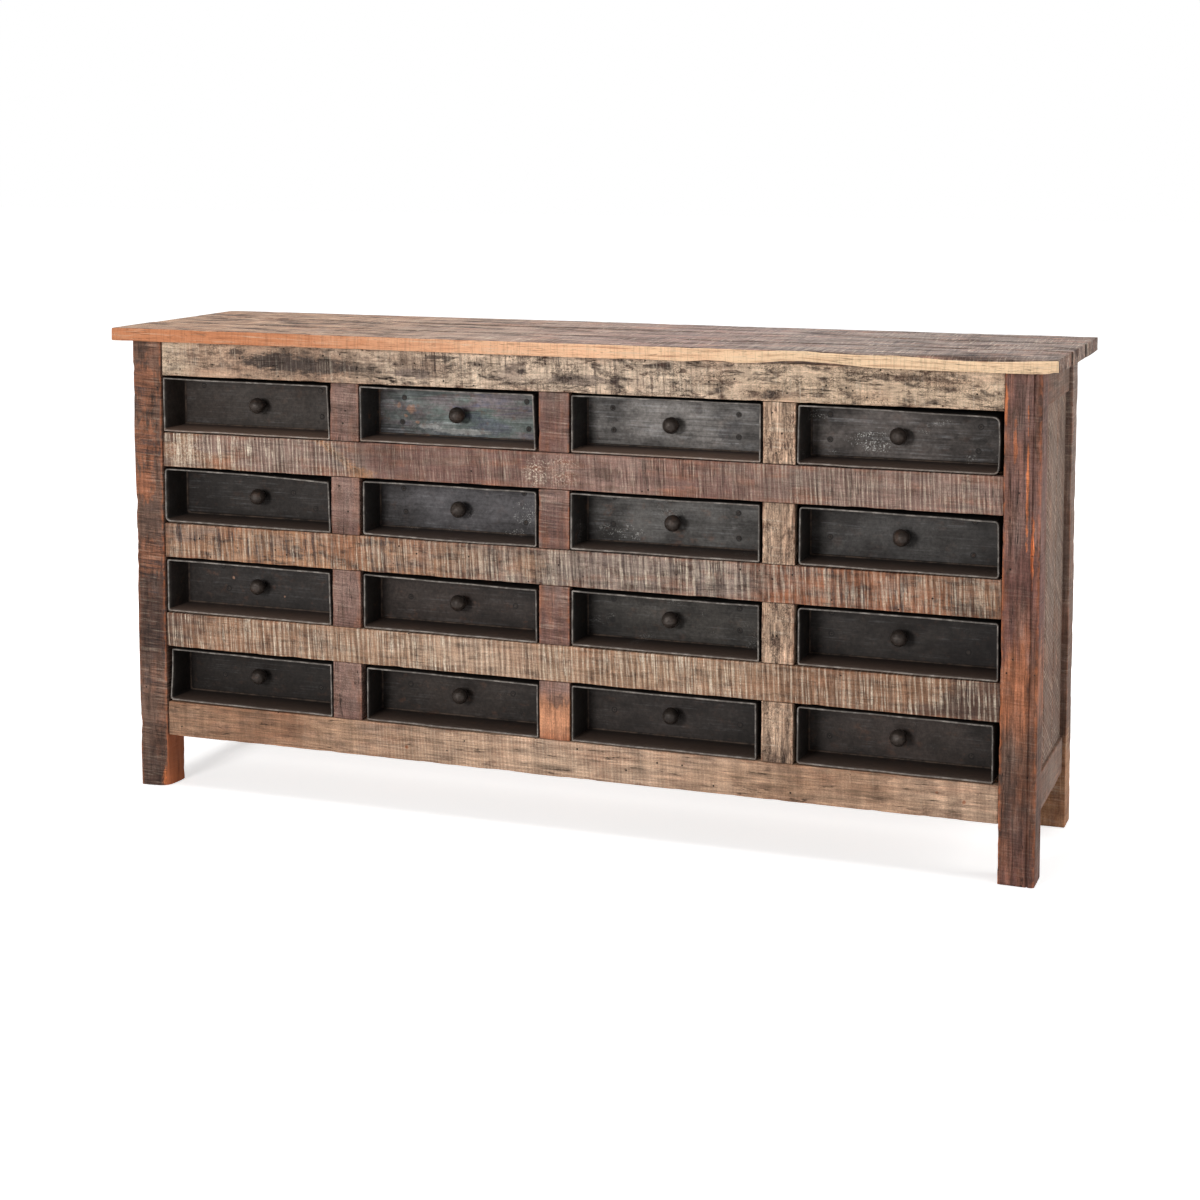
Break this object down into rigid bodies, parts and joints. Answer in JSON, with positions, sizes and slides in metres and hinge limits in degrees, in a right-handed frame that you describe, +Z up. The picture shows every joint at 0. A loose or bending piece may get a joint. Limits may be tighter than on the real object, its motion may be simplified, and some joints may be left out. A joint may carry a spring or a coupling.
{
  "type": "sideboard with drawers",
  "caption": "Long reclaimed-wood sideboard on four square legs, with rows of sliding drawers whose fronts are open sheet-iron trays with ball knobs.",
  "frame": {"origin": "on the floor, under the middle of the top's rectangle", "axes": "+X along the front towards the viewer's right, +Y from front to back, +Z up"},
  "size_m": [1.8, 0.45, 0.9],
  "materials": {
    "weathered_top": "weathered reclaimed planks, open grain, oiled",
    "sawn_frame": "rough-sawn reclaimed boards, lightly waxed",
    "dark_leg": "dark reclaimed hardwood, worn through on its edges",
    "side_board": "grey-brown sawn boards",
    "inner_wood": "plain planed softwood, unfinished",
    "tray_iron": "blackened sheet iron, waxed, worn bright along the rims"
  },
  "bodies": {
    "carcass": {"top_plank_front": "weathered_top", "top_plank_middle": "weathered_top", "top_plank_back": "weathered_top", "top_battens": "inner_wood", "leg_front_left": "dark_leg", "leg_back_left": "dark_leg", "side_rail_bottom_left": "side_board", "side_rail_top_left": "side_board", "side_panel_left": "side_board", "leg_front_right": "dark_leg", "leg_back_right": "dark_leg", "side_rail_bottom_right": "side_board", "side_rail_top_right": "side_board", "side_panel_right": "side_board", "front_rail_1": "sawn_frame", "front_rail_2": "sawn_frame", "front_rail_3": "sawn_frame", "front_rail_4": "sawn_frame", "front_rail_5": "sawn_frame", "mullions_1": "sawn_frame", "mullions_2": "sawn_frame", "mullions_3": "sawn_frame", "mullions_4": "sawn_frame", "back_rails": "inner_wood", "back_boards": "inner_wood", "drawer_runners": "inner_wood", "drawer_guides": "inner_wood", "drawer_kickers": "inner_wood"},
    "drawer_r1c1": {"drawer_r1c1_box": "inner_wood", "drawer_r1c1_tray": "tray_iron"},
    "drawer_r1c2": {"drawer_r1c2_box": "inner_wood", "drawer_r1c2_tray": "tray_iron"},
    "drawer_r1c3": {"drawer_r1c3_box": "inner_wood", "drawer_r1c3_tray": "tray_iron"},
    "drawer_r1c4": {"drawer_r1c4_box": "inner_wood", "drawer_r1c4_tray": "tray_iron"},
    "drawer_r2c1": {"drawer_r2c1_box": "inner_wood", "drawer_r2c1_tray": "tray_iron"},
    "drawer_r2c2": {"drawer_r2c2_box": "inner_wood", "drawer_r2c2_tray": "tray_iron"},
    "drawer_r2c3": {"drawer_r2c3_box": "inner_wood", "drawer_r2c3_tray": "tray_iron"},
    "drawer_r2c4": {"drawer_r2c4_box": "inner_wood", "drawer_r2c4_tray": "tray_iron"},
    "drawer_r3c1": {"drawer_r3c1_box": "inner_wood", "drawer_r3c1_tray": "tray_iron"},
    "drawer_r3c2": {"drawer_r3c2_box": "inner_wood", "drawer_r3c2_tray": "tray_iron"},
    "drawer_r3c3": {"drawer_r3c3_box": "inner_wood", "drawer_r3c3_tray": "tray_iron"},
    "drawer_r3c4": {"drawer_r3c4_box": "inner_wood", "drawer_r3c4_tray": "tray_iron"},
    "drawer_r4c1": {"drawer_r4c1_box": "inner_wood", "drawer_r4c1_tray": "tray_iron"},
    "drawer_r4c2": {"drawer_r4c2_box": "inner_wood", "drawer_r4c2_tray": "tray_iron"},
    "drawer_r4c3": {"drawer_r4c3_box": "inner_wood", "drawer_r4c3_tray": "tray_iron"},
    "drawer_r4c4": {"drawer_r4c4_box": "inner_wood", "drawer_r4c4_tray": "tray_iron"}
  },
  "joints": [
    {"name": "drawer_r1c1_slide", "type": "slide", "parent": "carcass", "child": "drawer_r1c1", "axis": [0, -1, 0], "range_m": [0, 0.26]},
    {"name": "drawer_r1c2_slide", "type": "slide", "parent": "carcass", "child": "drawer_r1c2", "axis": [0, -1, 0], "range_m": [0, 0.26]},
    {"name": "drawer_r1c3_slide", "type": "slide", "parent": "carcass", "child": "drawer_r1c3", "axis": [0, -1, 0], "range_m": [0, 0.26]},
    {"name": "drawer_r1c4_slide", "type": "slide", "parent": "carcass", "child": "drawer_r1c4", "axis": [0, -1, 0], "range_m": [0, 0.26]},
    {"name": "drawer_r2c1_slide", "type": "slide", "parent": "carcass", "child": "drawer_r2c1", "axis": [0, -1, 0], "range_m": [0, 0.26]},
    {"name": "drawer_r2c2_slide", "type": "slide", "parent": "carcass", "child": "drawer_r2c2", "axis": [0, -1, 0], "range_m": [0, 0.26]},
    {"name": "drawer_r2c3_slide", "type": "slide", "parent": "carcass", "child": "drawer_r2c3", "axis": [0, -1, 0], "range_m": [0, 0.26]},
    {"name": "drawer_r2c4_slide", "type": "slide", "parent": "carcass", "child": "drawer_r2c4", "axis": [0, -1, 0], "range_m": [0, 0.26]},
    {"name": "drawer_r3c1_slide", "type": "slide", "parent": "carcass", "child": "drawer_r3c1", "axis": [0, -1, 0], "range_m": [0, 0.26]},
    {"name": "drawer_r3c2_slide", "type": "slide", "parent": "carcass", "child": "drawer_r3c2", "axis": [0, -1, 0], "range_m": [0, 0.26]},
    {"name": "drawer_r3c3_slide", "type": "slide", "parent": "carcass", "child": "drawer_r3c3", "axis": [0, -1, 0], "range_m": [0, 0.26]},
    {"name": "drawer_r3c4_slide", "type": "slide", "parent": "carcass", "child": "drawer_r3c4", "axis": [0, -1, 0], "range_m": [0, 0.26]},
    {"name": "drawer_r4c1_slide", "type": "slide", "parent": "carcass", "child": "drawer_r4c1", "axis": [0, -1, 0], "range_m": [0, 0.26]},
    {"name": "drawer_r4c2_slide", "type": "slide", "parent": "carcass", "child": "drawer_r4c2", "axis": [0, -1, 0], "range_m": [0, 0.26]},
    {"name": "drawer_r4c3_slide", "type": "slide", "parent": "carcass", "child": "drawer_r4c3", "axis": [0, -1, 0], "range_m": [0, 0.26]},
    {"name": "drawer_r4c4_slide", "type": "slide", "parent": "carcass", "child": "drawer_r4c4", "axis": [0, -1, 0], "range_m": [0, 0.26]}
  ]
}
